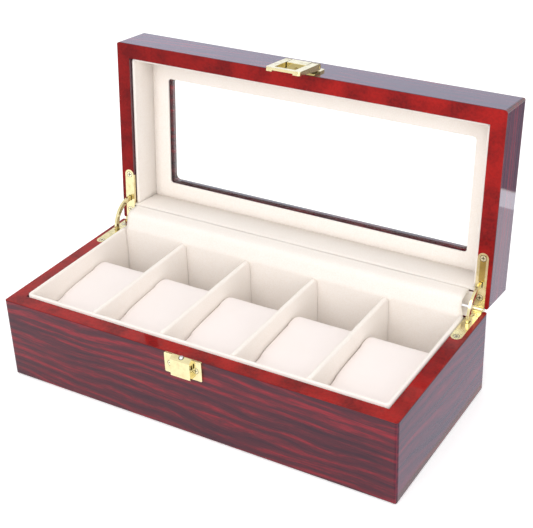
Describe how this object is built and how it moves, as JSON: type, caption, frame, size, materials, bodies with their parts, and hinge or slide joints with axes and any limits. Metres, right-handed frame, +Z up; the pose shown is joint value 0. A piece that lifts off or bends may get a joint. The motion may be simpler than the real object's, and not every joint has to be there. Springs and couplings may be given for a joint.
{
  "type": "watch box",
  "caption": "Wooden watch box with padded bays, removable pillows, a glazed lid on stay hinges and a hasp latch.",
  "frame": {"origin": "middle of the underside, on the felt", "axes": "+X to the right along the length, +Y to the back, +Z up; the lid is open at its stop"},
  "size_m": [0.25, 0.1569, 0.1739],
  "materials": {
    "veneer": "high-gloss lacquer over dark striped veneer",
    "board": "raw fibreboard",
    "felt": "flocked felt",
    "velvet": "short cream velvet",
    "pillow_fabric": "smooth cream velvet over foam",
    "gold_brass": "polished pale gold plating",
    "steel": "polished steel",
    "glass": "clear float glass"
  },
  "bodies": {
    "base": {"base_front_panel": "veneer", "base_back_panel": "veneer", "base_left_panel": "veneer", "base_right_panel": "veneer", "base_bottom_panel": "board", "base_felt": "felt", "floor_lining": "velvet", "base_liner_front": "velvet", "base_liner_back": "velvet", "base_liner_left": "velvet", "base_liner_right": "velvet", "divider_1": "velvet", "divider_2": "velvet", "divider_3": "velvet", "divider_4": "velvet", "hinge_base_leaf_left": "gold_brass", "hinge_base_leaf_right": "gold_brass", "hinge_pin_left": "gold_brass", "hinge_pin_right": "gold_brass", "base_hinge_screws": "gold_brass", "catch_plate": "gold_brass", "catch_block": "gold_brass", "catch_screws": "gold_brass", "catch_spring": "steel"},
    "lid": {"lid_front_panel": "veneer", "lid_back_panel": "veneer", "lid_left_panel": "veneer", "lid_right_panel": "veneer", "lid_top_frame": "veneer", "glass_pane": "glass", "ceiling_lining": "velvet", "lid_liner_front": "velvet", "lid_liner_back": "velvet", "lid_liner_left": "velvet", "lid_liner_right": "velvet", "hinge_lid_leaf_left": "gold_brass", "hinge_lid_leaf_right": "gold_brass", "lid_hinge_screws": "gold_brass", "latch_plate": "gold_brass", "latch_pin": "gold_brass", "latch_screws": "gold_brass"},
    "hasp": {"hasp": "gold_brass"},
    "stay_left": {"stay_arm_left": "gold_brass"},
    "stay_right": {"stay_arm_right": "gold_brass"},
    "flap": {"rear_flap": "velvet"},
    "ball": {"catch_ball": "steel"},
    "pillow_1": {"pillow_1": "pillow_fabric"},
    "pillow_2": {"pillow_2": "pillow_fabric"},
    "pillow_3": {"pillow_3": "pillow_fabric"},
    "pillow_4": {"pillow_4": "pillow_fabric"},
    "pillow_5": {"pillow_5": "pillow_fabric"}
  },
  "joints": [
    {"name": "lid_hinge", "type": "hinge", "parent": "base", "child": "lid", "pos_m": [0, 0.0581, 0.05145], "axis": [1, 0, 0], "range_deg": [0, 95]},
    {"name": "stay_left_swing", "type": "hinge", "parent": "base", "child": "stay_left", "pos_m": [0, 0.0581, 0.05145], "axis": [1, 0, 0], "range_deg": [0, 47.6]},
    {"name": "stay_right_swing", "type": "hinge", "parent": "base", "child": "stay_right", "pos_m": [0, 0.0581, 0.05145], "axis": [1, 0, 0], "range_deg": [0, 47.6]},
    {"name": "flap_swing", "type": "hinge", "parent": "base", "child": "flap", "pos_m": [0, 0.0454, 0.052], "axis": [1, 0, 0], "range_deg": [0, 50.5]},
    {"name": "hasp_swing", "type": "hinge", "parent": "lid", "child": "hasp", "pos_m": [0, 0.07589, 0.16935], "axis": [1, 0, 0], "range_deg": [-170, 5.5]},
    {"name": "ball_press", "type": "slide", "parent": "base", "child": "ball", "axis": [0, 0, -1], "range_m": [0, 0.0006], "stiffness_N_per_m": 300, "springref_m": -0.0005, "deforming": ["catch_spring"]},
    {"name": "pillow_1_lift", "type": "slide", "parent": "base", "child": "pillow_1", "axis": [0, 0, -1], "range_m": [-0.06, 0]},
    {"name": "pillow_2_lift", "type": "slide", "parent": "base", "child": "pillow_2", "axis": [0, 0, -1], "range_m": [-0.06, 0]},
    {"name": "pillow_3_lift", "type": "slide", "parent": "base", "child": "pillow_3", "axis": [0, 0, -1], "range_m": [-0.06, 0]},
    {"name": "pillow_4_lift", "type": "slide", "parent": "base", "child": "pillow_4", "axis": [0, 0, -1], "range_m": [-0.06, 0]},
    {"name": "pillow_5_lift", "type": "slide", "parent": "base", "child": "pillow_5", "axis": [0, 0, -1], "range_m": [-0.06, 0]}
  ],
  "couplings": [
    {"joint": "stay_left_swing", "follows": "lid_hinge", "ratio": 0.5},
    {"joint": "stay_right_swing", "follows": "lid_hinge", "ratio": 0.5},
    {"joint": "flap_swing", "follows": "lid_hinge", "ratio": 0.53}
  ]
}
